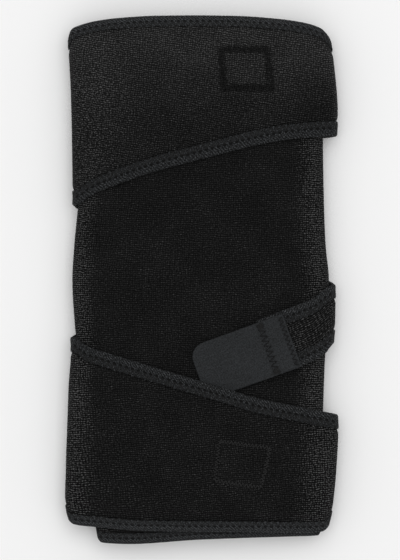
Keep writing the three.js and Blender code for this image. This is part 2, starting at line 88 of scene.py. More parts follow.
# Levels that follow from the sizes
WRAP_DEPTH = SLEEVE_WALL + LAYER_GAP
BACK_LEVEL = WRAP_DEPTH + WRAP_WALL
FOLD_HEIGHT = BACK_LEVEL + FOLD_LEVEL * HOLLOW
CROWN_RISE = (1 - FOLD_LEVEL) * HOLLOW
OUTER_DEPTH = WRAP_DEPTH + WRAP_WALL

# Relief of the cloth
PUFF_RUN = 3.4  # from a tape's inner edge to full thickness
PUFF_RISE = 0.3  # how far the front's cloth swells beside a tape
PUFF_AT, PUFF_SPREAD = 5.5, 3.2  # where it swells most, in from the tape, and how far round that place
FADE_FROM, FADE_RATE = 0.1, 3  # the sine of the turn where the front's relief starts, and how it grows
SWELL = 0.45  # the front's slow unevenness
PUCKER = 0.14  # ripples along a sewn edge, one to each stitch
PUCKER_RUN = 2.4
SHADE_DASH_AT, SHADE_DASH_SPREAD = 0.3, 0.9  # where painted shade darkens the cloth in dashes beside a tape, and how far round
ROOT_PINCH = 1.3  # how far a sewn-on root is pressed in
ROOT_LIMIT = 0.9  # the most that this takes of half the wall
ROOT_RUN = 5
BAND_LEVEL, BAND_FALL = 1.45, 2.6  # a box mark's band: full near its middle line, and how fast it ends
FULLY_OPEN = 0.35  # the share of its reach from a fold up to which the knit is fully open
SLEEVE_OPEN = (0.085, 0.11)  # how far across the sleeve's knit is open, from its left and right fold

# The knit: its loops, how far slow and quick noise shifts them, and what each effect adds to the tone
LOOP_ROW = 1.24
LOOP_COLUMN = 1.41
RIB_DASH = 2.0
ROW_WANDER, COLUMN_WANDER = 2.2, 3.0
ROW_WOBBLE, COLUMN_WOBBLE = 1.4, 2.2
KNIT_TONE = 0.28
GRAIN_TONE = 1.55
CLOUD_TONE = 0.28
FLUFF_TONE = 0.5
# painted light: how much lighter the upper wrap is painted, most towards its top
PAINTED_LIGHT_TONE = 0.22
# darkens the sewn places, which include painted shade beside the tapes
SEWN_AND_SHADE_TONE = -0.26

# The tape: its ribs, how strong they are on each part, its tone, the painted light on its rim tapes, and
# its needle holes
SLANT_RIB, CROSS_RIB = 1.9, 1.5
BRUSHED_RIBS, OUTER_RIBS, RIM_RIBS = 0.05, 0.25, 0.12
TAPE_TONE = 0.47
TAPE_GRAIN = 2.8
# painted light: how much lighter the narrow rim tapes are painted
RIM_PAINTED_LIGHT = 0.14
HOLE_REACH = 4.9  # in from the tape's edge

HOOK_WEAVE = 1.25
SHEEN_ROUGHNESS = 0.5

# Stitches
STITCH_PITCH = 3.8
SCALLOP = 0.05  # how far each stitch draws the tape's inner edge in, as a share of its width
STITCH_SIDES = 6
STITCH_RADIUS = 0.22
SEAM_RADIUS = 0.26
FINE_RADIUS = 0.2
# A zigzag's two reaches as shares of the tape's width, and its level as a share of half the wall
EDGE_ZIGZAG = (0.55, 1.03, 0.93)
RIM_ZIGZAG = (0.5, 1.04, 0.9)
ROOT_SEAM = 2.6  # a root's zigzag, in from the cut edge
ROOT_SWING = 1.1
ROOT_MARGIN = 2  # from its ends to the sides
ROOT_THREADS = 2.4  # to each pitch
MARK_SWING = 0.36  # a box mark's zigzag, as a share of its band
MARK_SINK = 0.85  # how deep it lies in the band
MARK_STEP = 1.0

# How finely the faces are cut, in millimetres or in rows, columns and stations
CLOTH_STEP = STITCH_PITCH / 3
SLEEVE_STEP = 2.0
STRAP_STEP = 1.2
STRAP_ROW = 1.0
TAPE_STEP = 1.1
TAPE_ROWS, PUFF_ROWS = 3, 5
TIP_COLUMNS, TIP_STATIONS = 14, 40
SLEEVE_STATIONS = 2001
WRAP_STATIONS = 1200
STRAP_STATIONS = 600


def table(columns, *rows):
    return dict(zip(columns.split(), np.array(rows).T))


SLEEVE_SECTIONS = table(
    "along left right crown",
    (0.0, 0.115, 0.934, 1.0),
    (0.08, 0.1, 0.936, 1.0),
    (0.2, 0.071, 0.94, 1.0),
    (0.31, 0.046, 0.946, 0.97),
    (0.375, 0.042, 0.952, 0.92),
    (0.41, 0.034, 0.957, 0.88),
    (0.5, 0.024, 0.9635, 0.85),
    (0.565, 0.031, 0.952, 0.87),
    (0.62, 0.041, 0.947, 0.92),
    (0.66, 0.048, 0.945, 0.96),
    (0.76, 0.046, 0.942, 1.0),
    (0.85, 0.042, 0.945, 1.0),
    (0.96, 0.031, 0.936, 1.0),
    (1.0, 0.027, 0.93, 1.0),
)
UPPER_SLACK = table(
    "along left right",
    (0.55, 0.03, 0.3),
    (0.73, 0.03, 0.35),
    (0.81, 0.03, 0.34),
    (0.9, 0.03, 0.23),
    (1.0, 0.06, 0.12),
)
LOWER_SLACK = table(
    "along left right",
    (0.02, 0.84, 0.08),
    (0.07, 0.88, 0.23),
    (0.14, 0.7, 0.35),
    (0.215, 0.45, 0.4),
    (0.29, 0.2, 0.34),
    (0.37, 0.04, 0.36),
    (0.5, 0.03, 0.35),
)
STRAP_SLACK = table("along right", (0.36, 1.0), (0.42, 0.74), (0.5, 0.48))
THIGH_RIM = table(
    "across along",
    (0.0, 0.956),
    (0.01, 0.9687),
    (0.02, 0.9763),
    (0.05, 0.982),
    (0.11, 0.9896),
    (0.2, 0.9953),
    (0.35, 0.9995),
    (0.5, 1.0),
    (0.66, 0.999),
    (0.8, 0.9943),
    (0.9, 0.9873),
    (0.96, 0.978),
    (0.99, 0.963),
    (1.0, 0.952),
)
CALF_RIM = table(
    "across along",
    (0.0, 0.055),
    (0.009, 0.0414),
    (0.023, 0.037),
    (0.095, 0.0324),
    (0.24, 0.0256),
    (0.81, 0.0226),
    (0.91, 0.0218),
    (0.973, 0.0237),
    (0.994, 0.031),
    (1.0, 0.045),
)
SLEEVE_RIM = table(
    "across along",
    (0.0, 0.945),
    (0.03, 0.955),
    (0.1, 0.971),
    (0.25, 0.983),
    (0.5, 0.987),
    (0.75, 0.983),
    (0.9, 0.97),
    (0.97, 0.955),
    (1.0, 0.942),
)
SLEEVE_HEM = table(
    "across along",
    (0.0, 0.026),
    (0.012, 0.0066),
    (0.03, 0.002),
    (0.15, 0.0),
    (0.46, 0.0085),
    (0.85, 0.0142),
    (0.985, 0.0155),
    (1.0, 0.0237),
)
UPPER_WRAP_HEM = table(
    "across along",
    (-0.45, 0.557),
    (-0.2, 0.6006),
    (-0.05, 0.629),
    (0.0, 0.641),
    (0.03, 0.6445),
    (0.062, 0.6567),
    (0.134, 0.6729),
    (0.313, 0.7036),
    (0.457, 0.7225),
    (0.6, 0.7405),
    (0.743, 0.7577),
    (0.851, 0.7668),
    (0.994, 0.7721),
    (1.05, 0.7705),
    (1.2, 0.774),
    (1.42, 0.785),
)
LOWER_WRAP_HEM = table(
    "across along",
    (-0.45, 0.4943),
    (-0.2, 0.446),
    (-0.05, 0.402),
    (0.0, 0.392),
    (0.02, 0.3905),
    (0.055, 0.3767),
    (0.134, 0.363),
    (0.254, 0.3448),
    (0.616, 0.292),
    (0.7, 0.279),
    (0.869, 0.26),
    (1.0, 0.2455),
    (1.2, 0.2249),
    (1.42, 0.2078),
)
STRAP_ROUTE = table(
    "across along lean span",
    (0.74, 0.371, 20, 1.02),
    (0.8413, 0.3901, 20, 1.05),
    (0.9374, 0.412, 12, 1.03),
    (0.975, 0.4288, 6, 1.05),
    (1.0, 0.4355, 0, 1.07),
    (1.04, 0.443, 0, 1.08),
    (1.1, 0.4575, 0, 1.1),
    (1.25, 0.497, 0, 1.12),
    (1.42, 0.54, 0, 1.12),
)

# The box marks that are sewn into the wraps: the corners of their middle lines, and the band's width
UPPER_MARK = {
    "corners": [(11.4, 139.2), (38.7, 139.4), (41.8, 115.9), (12.9, 116.1)],
    "band": 6.6,
    "depth": 0.55,
    "dark": (1.0, 0.9, 1.0, 1.0),
    "thread": 0.004,
}
LOWER_MARK = {
    "corners": [(10.4, -97.2), (40.2, -101.4), (35.2, -125.4), (7.6, -121.3)],
    "band": 3.4,
    "depth": 0.35,
    "dark": (0.15, 0.15, 0.15, 0.9),
    "thread": 0.023,
}

# A stitch from end to end: the share of its way, and its thickness and rise off the cloth in radii
THREAD = table(
    "share thick rise",
    (0.0, 0.45, -0.7),
    (0.16, 1.0, 0.35),
    (0.5, 1.0, 0.75),
    (0.84, 1.0, 0.35),
    (1.0, 0.45, -0.7),
)


def curve(rows, start, end):
    """A smooth curve through a table's rows, which never swings past them."""
    x, y = rows[start], rows[end]
    grade = np.diff(y) / np.diff(x)
    before, after = grade[:-1], grade[1:]
    same_way = before * after > 0
    inside = np.where(same_way, 2 * before * after / np.where(same_way, before + after, 1), 0)
    slope = np.concatenate([grade[:1], inside, grade[-1:]])

    def at(value):
        held = np.clip(value, x[0], x[-1])
        i = np.clip(np.searchsorted(x, held, side="right") - 1, 0, len(x) - 2)
        run = x[i + 1] - x[i]
        u = (held - x[i]) / run
        bend = u * (1 - u) * run * (slope[i] * (1 - u) - slope[i + 1] * u)
        return y[i] + (y[i + 1] - y[i]) * u * u * (3 - 2 * u) + bend

    return at


def ease(u):
    held = np.clip(u, 0, 1)
    return held * held * (3 - 2 * held)


def along_of(y):
    return y / LENGTH + 0.5


def y_of(along):
    return (along - 0.5) * LENGTH


sleeve_left = curve(SLEEVE_SECTIONS, "along", "left")
sleeve_right = curve(SLEEVE_SECTIONS, "along", "right")
sleeve_crown = curve(SLEEVE_SECTIONS, "along", "crown")


def inner_face(turn, y):
    """The sleeve's inner face: x and z."""
    along = along_of(y)
    left = (sleeve_left(along) - 0.5) * WIDTH + SLEEVE_WALL
    right = (sleeve_right(along) - 0.5) * WIDTH - SLEEVE_WALL
    middle, half = (left + right) / 2, (right - left) / 2
    c, s = np.cos(np.pi * turn), np.sin(np.pi * turn)
    out = np.abs(c) ** (2 / SHOULDER)
    front = FOLD_HEIGHT + CROWN_RISE * sleeve_crown(along) * np.maximum(s, 0) ** (2 / SHOULDER)
    flat = 1 - FOLD_RUN / half
    u = np.clip((out - flat) / (1 - flat), 0, 1)
    back = FOLD_HEIGHT - (FOLD_HEIGHT - BACK_LEVEL) * np.sqrt(1 - u * u)
    return middle - np.sign(c) * half * out, np.where(s >= 0, front, back)


def swell(x, y, front):
    """The front's slow unevenness, the same on every layer."""
    waves = (
        np.sin(x * 0.061 + y * 0.023 + 0.7) * np.sin(y * 0.047 - x * 0.013 + 1.9)
        + 0.6 * np.sin(x * 0.024 - y * 0.071 + 2.2)
        + 0.5 * np.sin(x * 0.093 + y * 0.081 + 0.4)
    )
    return SWELL * waves * front**2


def no_slack(along):
    return 0 * along


def place(turn, y, depth, slack=(no_slack, no_slack)):
    """A point of a layer; slack gives how far its left and right folds stand off."""
    turn, y, depth = np.broadcast_arrays(np.asarray(turn, float), y, depth)
    step = 1e-4
    x, z = inner_face(turn, y)
    x0, z0 = inner_face(turn - step, y)
    x1, z1 = inner_face(turn + step, y)
    size = np.hypot(x1 - x0, z1 - z0)
    along = along_of(y)
    c = np.cos(np.pi * turn)
    pull = np.abs(c) ** (6 / SHOULDER) * np.where(c < 0, slack[1](along), -slack[0](along))
    at_x = x - depth * (z1 - z0) / size + pull
    at_z = z + depth * (x1 - x0) / size + swell(x, y, np.maximum(np.sin(np.pi * turn), 0))
    return np.stack([at_x, y, at_z], axis=-1)


def outside(y):
    """The outside's left edge and width at one y, where a band lies close."""
    left = place(0, y, OUTER_DEPTH)[..., 0]
    return left, place(1, y, OUTER_DEPTH)[..., 0] - left


# Between a turn and the share across, measured over the front's outside half way along
turns = np.linspace(0, 1, 401)
left_edge, width_there = outside(0)
measure = {"turn": turns, "across": (place(turns, 0, OUTER_DEPTH)[:, 0] - left_edge) / width_there}
front_across = curve(measure, "turn", "across")
front_turn = curve(measure, "across", "turn")


def mirrored(function, value):
    """Carries a function of the front round both folds."""
    value = np.asarray(value, float)
    behind_left, behind_right = value < 0, value > 1
    seen = np.where(behind_left, -value, np.where(behind_right, 2 - value, value))
    result = function(seen)
    return np.where(behind_left, -result, np.where(behind_right, 2 - result, result))


def across_of(turn):
    return mirrored(front_across, turn)


def turn_of(across):
    return mirrored(front_turn, across)


def across_per(y):
    """Millimetres to shares across, at one y."""
    return 1 / outside(y)[1]


def seen_from_front(across):
    return np.where(across < 0, -across, np.where(across > 1, 2 - across, across))


# The way round the outside half way along, in millimetres from the middle of the front
round_turns = np.linspace(-0.5, 1.5, 4001)
round_points = place(round_turns, 0, OUTER_DEPTH)
steps = np.linalg.norm(np.diff(round_points, axis=0), axis=1)
round_way = np.concatenate([[0], np.cumsum(steps)])
round_way -= np.interp(0.5, round_turns, round_way)


def way_of(turn):
    return np.interp(turn, round_turns, round_way)


def turns_between(start, end, step):
    """Turns that stand evenly along the way from one turn to another."""
    way = np.linspace(way_of(start), way_of(end), 2 + int(abs(way_of(end) - way_of(start)) / step))
    return np.interp(way, round_way, round_turns)


def mark_band(mark, x, y, weights):
    """How deep a point lies in a box mark's band: 0 outside it, and each side's weight on its middle."""
    corners = np.array(mark["corners"])
    deepest = np.zeros(np.shape(x))
    for a, b, weight in zip(corners, np.roll(corners, -1, axis=0), weights):
        span = b - a
        u = np.clip(((x - a[0]) * span[0] + (y - a[1]) * span[1]) / (span @ span), 0, 1)
        away = np.hypot(x - a[0] - u * span[0], y - a[1] - u * span[1])
        deepest = np.maximum(deepest, weight * ease(BAND_LEVEL - BAND_FALL * away / mark["band"]))
    return deepest


# Meshes


def add_object(name, data):
    made = bpy.data.objects.new(name, data)
    bpy.context.scene.collection.objects.link(made)
    return made


def add_mesh(name, points, faces, material, uv=None, corners=None, paint=None):
    """A closed mesh in millimetres, turned to face outward; corners index uv, and paint is by point."""
    a, b, c = points[faces[:, 0]], points[faces[:, 1]], points[faces[:, 2]]
    d = points[faces[:, 3]]
    volume = np.einsum("ij,ij->", a, np.cross(b, c)) + np.einsum("ij,ij->", a, np.cross(c, d))
    if volume < 0:
        faces = faces[:, ::-1]
        corners = None if corners is None else corners[:, ::-1]
    data = bpy.data.meshes.new(name)
    data.vertices.add(len(points))
    data.vertices.foreach_set("co", (points * MM).ravel())
    data.loops.add(faces.size)
    data.loops.foreach_set("vertex_index", faces.ravel())
    data.polygons.add(len(faces))
    data.polygons.foreach_set("loop_start", np.arange(0, faces.size, 4))
    data.polygons.foreach_set("use_smooth", np.ones(len(faces), bool))
    if uv is not None:
        layer = data.uv_layers.new(name="knit")
        layer.data.foreach_set("uv", uv[corners.ravel()].ravel())
    for key, values in (paint or {}).items():
        data.attributes.new(key, "FLOAT", "POINT").data.foreach_set("value", values.ravel())
    data.update(calc_edges=True)
    data.validate()
    data.materials.append(material)
    return add_object(name, data)


def grid(columns, rows, around):
    """The quads of a grid, by the corners' numbers before the last column meets the first."""
    strips = columns if around else columns - 1
    i, j = np.meshgrid(np.arange(strips), np.arange(rows - 1), indexing="ij")
    start = (i * rows + j).ravel()
    return np.stack([start, start + rows, start + rows + 1, start + 1], axis=1)


def add_wall(name, inner, outer, way, across_way, around, material, paint):
    """A wall between two grids of points; way and across_way give the cloth's own directions."""
    columns, rows = inner.shape[:2]
    count = columns * rows
    quads = grid(columns, rows, around)
    start = np.arange(columns if around else columns - 1) * rows
    low = np.stack([start, start + rows, start + rows, start], axis=1)
    high = low + rows - 1
    side = np.array([0, 0, count, count])
    faces = [quads % count + count, quads[:, ::-1] % count]
    faces += [low % count + side, (high % count + side)[:, ::-1]]
    corners = [quads, quads[:, ::-1], low, high[:, ::-1]]
    if not around:
        j = np.arange(rows - 1)
        first = np.stack([j, j, j + 1, j + 1], axis=1)
        last = first + (columns - 1) * rows
        ends = np.array([0, count, count, 0])
        faces += [first + ends, (last + ends)[:, ::-1]]
        corners += [first, last[:, ::-1]]
    faces, corners = np.concatenate(faces), np.concatenate(corners)
    uv = np.stack([np.broadcast_to(way, across_way.shape), across_way], axis=-1).reshape(-1, 2)
    points = np.concatenate([inner.reshape(-1, 3), outer.reshape(-1, 3)])
    doubled = {key: np.concatenate([values.ravel()] * 2) for key, values in paint.items()}
    return add_mesh(name, points, faces, material, uv, corners, doubled)


def add_tube(name, rings, way, girth, around, material, paint):
    """A closed tube through rings of points; way runs along it and girth round the section."""
    stations, size = rings.shape[:2]
    closed = np.concatenate([rings, rings[:, :1]], axis=1)
    quads = grid(stations, size + 1, around)
    i, k = quads // (size + 1), quads % (size + 1)
    faces = (i % stations) * size + k % size
    corners = quads
    if not around:
        half = size // 2
        j = np.arange(half - 1)
        cap = np.stack([j, j + 1, size - 2 - j, size - 1 - j], axis=1)
        last = (stations - 1) * size
        faces = np.concatenate([faces, cap, cap[:, ::-1] + last])
        wide = (stations - 1) * (size + 1)
        corners = np.concatenate([corners, cap, cap[:, ::-1] + wide])
    every_way = np.repeat(way, size + 1)
    every_girth = np.tile(np.append(girth, girth[0]), len(way))
    uv = np.stack([every_way, every_girth], axis=-1)
    ringed = {key: np.repeat(values, size) for key, values in paint.items()}
    return add_mesh(name, closed[:, :-1].reshape(-1, 3), faces, material, uv, corners, ringed)


def add_stitches(name, stitches, material, radius=STITCH_RADIUS):
    """Short threads that dip into the cloth, given by their starts, their ends and the ways off it."""
    starts, ends, lift = stitches
    span = ends - starts
    side = np.cross(span, lift)
    side /= np.linalg.norm(side, axis=1, keepdims=True)
    share, rise_off = THREAD["share"][:, None], (THREAD["rise"] * radius)[:, None]
    middle = starts[:, None] + span[:, None] * share + lift[:, None] * rise_off
    size = STITCH_SIDES
    k = np.arange(size)
    angle = k * 2 * np.pi / size
    spoke = side[:, None] * np.cos(angle)[:, None] + lift[:, None] * np.sin(angle)[:, None]
    points = middle[:, :, None] + spoke[:, None] * (THREAD["thick"] * radius)[:, None, None]
    rings = len(rise_off)
    ring = np.stack([k, (k + 1) % size, (k + 1) % size + size, k + size], axis=1)
    caps = np.array([[0, 3, 2, 1], [0, 5, 4, 3]])  # two quads close an end of six sides
    far_caps = caps[:, ::-1] + size * (rings - 1)
    one = np.concatenate([ring + size * r for r in range(rings - 1)] + [caps, far_caps])
    faces = (one[None] + np.arange(len(starts))[:, None, None] * rings * size).reshape(-1, 4)
    return dress(add_mesh(name, points.reshape(-1, 3), faces, material), "tape")


def threads(points, lift):
    """Stitches from each point to the next one."""
    return points[:-1], points[1:], lift[:-1]


def joined(runs):
    """Several runs of stitches as one."""
    return [np.concatenate(parts) for parts in zip(*runs)]


def swings(count):
    """A zigzag's sides: -1 and 1 by turns."""
    return np.where(np.arange(count) % 2, 1, -1)


# Materials


class Nodes:
    """A material's nodes, added one after another."""

    def __init__(self, name):
        self.material = bpy.data.materials.new(name)
        self.material.use_nodes = True
        self.tree = self.material.node_tree
        self.shader = self.tree.nodes["Principled BSDF"]

    def add(self, kind, **settings):
        node = self.tree.nodes.new(kind)
        for key, value in settings.items():
            setattr(node, key, value)
        return node

    def feed(self, socket, value):
        if isinstance(value, bpy.types.NodeSocket):
            self.tree.links.new(value, socket)
        else:
            socket.default_value = value

    def math(self, operation, *values, clamp=False):
        node = self.add("ShaderNodeMath", operation=operation, use_clamp=clamp)
        for socket, value in zip(node.inputs, values):
            self.feed(socket, value)
        return node.outputs[0]

    def line(self, value, slope, start, clamp=False):
        """value times slope, with start added."""
        return self.math("MULTIPLY_ADD", value, slope, start, clamp=clamp)

    def wave(self, value, pitch):
        """A sine of that pitch, from -1 to 1."""
        return self.math("SINE", self.math("MULTIPLY", value, 2 * math.pi / pitch))

    def half_wave(self, value, pitch):
        """The same, from 0 to 1."""
        return self.line(self.wave(value, pitch), 0.5, 0.5)

    def mix(self, a, b, share):
        node = self.add("ShaderNodeMix", data_type="FLOAT")
        self.feed(node.inputs[0], share)
        self.feed(node.inputs[2], a)
        self.feed(node.inputs[3], b)
        return node.outputs[0]

    def noise(self, vector, scale, detail):
        """Noise from about -0.5 to 0.5."""
        node = self.add("ShaderNodeTexNoise")
        self.feed(node.inputs["Vector"], vector)
        node.inputs["Scale"].default_value = scale
        node.inputs["Detail"].default_value = detail
        return self.math("SUBTRACT", node.outputs["Fac"], 0.5)

    def mapped(self, vector, setting, value):
        """The vector turned or scaled."""
        node = self.add("ShaderNodeMapping")
        node.inputs[setting].default_value = value
        self.feed(node.inputs["Vector"], vector)
        return node.outputs[0]

    def parts(self, vector):
        """The vector's first two parts."""
        node = self.add("ShaderNodeSeparateXYZ")
        self.feed(node.inputs[0], vector)
        return node.outputs[0], node.outputs[1]

    def place(self):
        """The cloth's own directions in millimetres: along the way round, and across it."""
        return self.add("ShaderNodeUVMap", uv_map="knit").outputs[0]

    def painted(self, name):
        return self.add("ShaderNodeAttribute", attribute_name=name).outputs["Fac"]

    def ramp(self, value, stops):
        node = self.add("ShaderNodeValToRGB")
        elements = node.color_ramp.elements
        while len(elements) < len(stops):
            elements.new(0.5)
        for element, (at, shade) in zip(elements, stops):
            element.position = at
            element.color = (*shade, 1)
        self.feed(node.inputs[0], value)
        return node.outputs[0]

    def finish(self, colour, height, depth, roughness, sheen, level):
        """The shader: its colour, a relief as deep as depth in millimetres, and its own values."""
        bump = self.add("ShaderNodeBump")
        bump.inputs["Distance"].default_value = depth * MM
        bump.inputs["Strength"].default_value = 1.0
        self.feed(bump.inputs["Height"], height)
        self.feed(self.shader.inputs["Normal"], bump.outputs[0])
        self.feed(self.shader.inputs["Base Color"], colour)
        self.shader.inputs["Roughness"].default_value = roughness
        self.shader.inputs["Sheen Weight"].default_value = sheen
        self.shader.inputs["Sheen Roughness"].default_value = SHEEN_ROUGHNESS
        self.shader.inputs["Specular IOR Level"].default_value = level
        return self.material


def grey(value, cool=0.0):
    """A near-black shade as linear colour, a little cool where asked."""
    return (value * (1 - cool), value, value * (1 + cool))


def knit_material(name, turn, contrast, loose=0.15, rib=0.0):
    """Padded knit: rows of small loops, which break up where the cloth is stretched open. turn is the
    rows' slant in degrees, loose how far open loops leave their rows, and rib how ribbed the knit is."""
    nodes = Nodes(name)
    uv = nodes.place()
    u, v = nodes.parts(nodes.mapped(uv, "Rotation", (0, 0, math.radians(turn))))
    wander = nodes.noise(uv, scale=0.09, detail=3.0)
    u = nodes.line(wander, COLUMN_WANDER, u)
    v = nodes.line(wander, ROW_WANDER, v)
    u = nodes.line(nodes.noise(uv, scale=0.7, detail=1.0), COLUMN_WOBBLE, u)
    v = nodes.line(nodes.noise(uv, scale=0.3, detail=1.0), ROW_WOBBLE, v)
    row = nodes.half_wave(v, LOOP_ROW)
    loops = nodes.math("MULTIPLY", row, nodes.line(nodes.half_wave(u, LOOP_COLUMN), 0.6, 0.25))
    # Open knit: short broken dashes in place of the even loops
    open_share = nodes.painted("open")
    drawn = nodes.mapped(uv, "Scale", (0.8, 1.0, 1.0))
    broken = nodes.line(nodes.noise(drawn, scale=1.5, detail=1.0), 2.8, 0.5, clamp=True)
    dashes = nodes.math("MULTIPLY", nodes.mix(row, 0.6, loose), broken)
    loops = nodes.mix(loops, dashes, nodes.math("MULTIPLY", open_share, 0.2 + 0.8 * loose))
    if rib:
        ribs = nodes.line(nodes.half_wave(u, RIB_DASH), 0.35, 0.3)
        ribs = nodes.math("MULTIPLY", row, nodes.line(broken, 0.22, ribs))
        loops = nodes.mix(loops, ribs, rib)
    grain = nodes.noise(uv, scale=1.0, detail=2.0)
    height = nodes.line(grain, 1.2, loops)
    # The tone: loops and grain, slow clouds, specks of fluff, painted light on the upper wrap, and the
    # sewn places with their painted shade beside the tapes
    spread = nodes.line(open_share, 1.95 - loose - contrast, contrast)
    detail = nodes.line(grain, GRAIN_TONE, nodes.math("SUBTRACT", loops, 0.25))
    tone = nodes.line(detail, spread, KNIT_TONE)
    tone = nodes.line(nodes.noise(uv, scale=0.035, detail=3.0), CLOUD_TONE, tone)
    fluff = nodes.line(nodes.noise(uv, scale=0.8, detail=1.0), 5.0, -1.05, clamp=True)
    tone = nodes.line(fluff, FLUFF_TONE, tone)
    tone = nodes.line(open_share, 0.1 * loose, tone)
    # Painted light: the upper wrap painted lighter, most towards its top, as if lit from above
    tone = nodes.line(nodes.painted("painted_light"), PAINTED_LIGHT_TONE, tone)
    # The sewn places: the box marks' dark bands, and painted shade in dashes beside the tapes
    sewn = nodes.painted("sewn")
    ragged = nodes.line(nodes.noise(uv, scale=0.5, detail=2.0), 4.4, -0.5)
    ragged = nodes.line(sewn, 1.25, ragged, clamp=True)
    dark = nodes.math("MULTIPLY", ragged, nodes.math("MULTIPLY", sewn, 3.0, clamp=True))
    tone = nodes.line(dark, SEWN_AND_SHADE_TONE, tone, clamp=True)
    shades = [(0.0, grey(0.001)), (0.3, grey(0.005)), (0.6, grey(0.016)), (1.0, grey(0.08))]
    colour = nodes.ramp(tone, shades)
    return nodes.finish(colour, height, depth=0.25, roughness=0.95, sheen=0.015, level=0.06)


def tape_material(name):
    """Binding tape: fine slanting ribs on its outer half, a brushed inner half, needle holes between."""
    nodes = Nodes(name)
    uv = nodes.place()
    u, v = nodes.parts(uv)
    reach = nodes.math("ABSOLUTE", v)
    wander = nodes.noise(uv, scale=0.5, detail=1.0)
    slant = nodes.line(v, 0.8, nodes.line(wander, 0.8, u))
    across = nodes.line(u, 0.6, v)
    ribs = nodes.mix(nodes.wave(slant, SLANT_RIB), nodes.wave(across, CROSS_RIB), 0.35)
    rim = nodes.painted("rim")
    outer_half = nodes.line(reach, -1.1, 5.6, clamp=True)
    strength = nodes.line(rim, RIM_RIBS, nodes.line(outer_half, OUTER_RIBS, BRUSHED_RIBS))
    hole_u = nodes.math("PINGPONG", u, STITCH_PITCH / 2)
    hole_v = nodes.math("SUBTRACT", reach, HOLE_REACH)
    squares = nodes.math("ADD", nodes.math("POWER", hole_u, 2.0), nodes.math("POWER", hole_v, 2.0))
    hole = nodes.line(nodes.math("SQRT", squares), -1.3, 1.6, clamp=True)
    height = nodes.line(ribs, strength, TAPE_TONE)
    height = nodes.line(nodes.noise(uv, scale=1.3, detail=2.0), TAPE_GRAIN, height)
    height = nodes.math("SUBTRACT", height, hole, clamp=True)
    # Painted light: the narrow rim tapes painted lighter than the others
    tone = nodes.line(rim, RIM_PAINTED_LIGHT, height, clamp=True)
    shades = [
        (0.0, grey(0.001, 0.02)),
        (0.35, grey(0.006, 0.06)),
        (0.7, grey(0.02, 0.06)),
        (1.0, grey(0.06, 0.05)),
    ]
    colour = nodes.ramp(tone, shades)
    return nodes.finish(colour, height, depth=0.25, roughness=0.85, sheen=0.02, level=0.12)


def hook_material(name):
    """The smooth woven back of hook tape, with faint lines along it."""
    nodes = Nodes(name)
    uv = nodes.place()
    u, v = nodes.parts(uv)
    lines = nodes.noise(nodes.mapped(uv, "Scale", (0.3, 1.0, 1.0)), scale=0.8, detail=2.0)
    weave = nodes.math("MULTIPLY", nodes.wave(v, HOOK_WEAVE), nodes.wave(u, HOOK_WEAVE))
    height = nodes.line(lines, 0.5, nodes.line(weave, 0.1, 0.5))
    height = nodes.line(nodes.noise(uv, scale=1.2, detail=1.0), 1.5, height)
    tone = nodes.line(nodes.noise(uv, scale=0.05, detail=3.0), 0.4, height)
    tone = nodes.line(nodes.painted("sewn"), -0.22, tone, clamp=True)
    colour = nodes.ramp(tone, [(0.1, grey(0.005, 0.08)), (0.9, grey(0.026, 0.08))])
    return nodes.finish(colour, height, depth=0.08, roughness=0.75, sheen=0.02, level=0.15)


def thread_material(name, shade):
    nodes = Nodes(name)
    coordinates = nodes.add("ShaderNodeTexCoord").outputs["Object"]
    twist = nodes.noise(coordinates, scale=1400.0, detail=1.0)
    tone = nodes.math("ADD", twist, 0.5, clamp=True)
    colour = nodes.ramp(tone, [(0.2, grey(shade * 0.6)), (0.8, grey(shade * 1.3))])
    return nodes.finish(colour, twist, depth=0.05, roughness=0.7, sheen=0.02, level=0.12)


knits = {
    "sleeve": knit_material("sleeve_knit", turn=1.5, contrast=0.62),
    "upper_wrap": knit_material("upper_wrap_knit", turn=9.0, contrast=0.72, loose=0.65),
    "lower_wrap": knit_material("lower_wrap_knit", turn=-4.0, contrast=0.66),
    "strap": knit_material("strap_knit", turn=-5.0, contrast=1.12, rib=0.95),
}
tape = tape_material("binding_tape")
hook_cloth = hook_material("hook_cloth")
thread = thread_material("thread", shade=0.012)
dark_thread = thread_material("dark_thread", shade=0.005)


def dress(piece, slot, *nodes):
    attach(piece, "root")
    if nodes:
        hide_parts(*nodes)
    return piece


# Sections


def puff(clear, wall):
    """How thick cloth is, as a share of full, at a distance in from a tape's inner edge."""
    pinched = 1 - 2 * TAPE_INSET / wall
    return pinched + (1 - pinched) * np.sqrt(ease((clear - TAPE_GAP) / PUFF_RUN))


def rise(clear, turn):
    """How far the front's cloth swells beside a tape, and puckers where it is sewn."""
    front = ease((np.sin(np.pi * turn) - FADE_FROM) * FADE_RATE)
    beside = np.exp(-(((clear - PUFF_AT) / PUFF_SPREAD) ** 2))
    ripple = np.cos(2 * np.pi * way_of(turn) / STITCH_PITCH) * np.exp(-((clear / PUCKER_RUN - 1) ** 2))
    return front * (PUFF_RISE * beside + PUCKER * ripple)


def painted_shade_dashes(clear, turn):
    """Painted shade: dark dashes in the gap beside a tape, one to each stitch."""
    dash = 0.6 + 0.4 * np.cos(2 * np.pi * way_of(turn) / STITCH_PITCH)
    return dash * np.exp(-(((clear - SHADE_DASH_AT) / SHADE_DASH_SPREAD) ** 2))


def root_pinch(way_in):
    """How far a sewn-on root is pressed in, at a distance from its cut edge."""
    return ROOT_PINCH * (1 - ease(way_in / ROOT_RUN))


# The folded tape's section: its stations from an inner edge to the fold as shares of its width, the
# angles of those round the fold, and how far its inner edge and its fold are pressed in, as shares of
# half the wall
TAPE_STATIONS = np.array([0.0, 0.03, 0.12, 0.3, 0.5, 0.7, 0.85])
TAPE_FOLD = np.radians([75, 50, 25, 0, -25, -50, -75])
EDGE_PRESS, EDGE_RATE = 0.3, 2.6
FOLD_PRESS, FOLD_PRESS_AT, FOLD_PRESS_RUN = 0.06, 0.6, 0.3


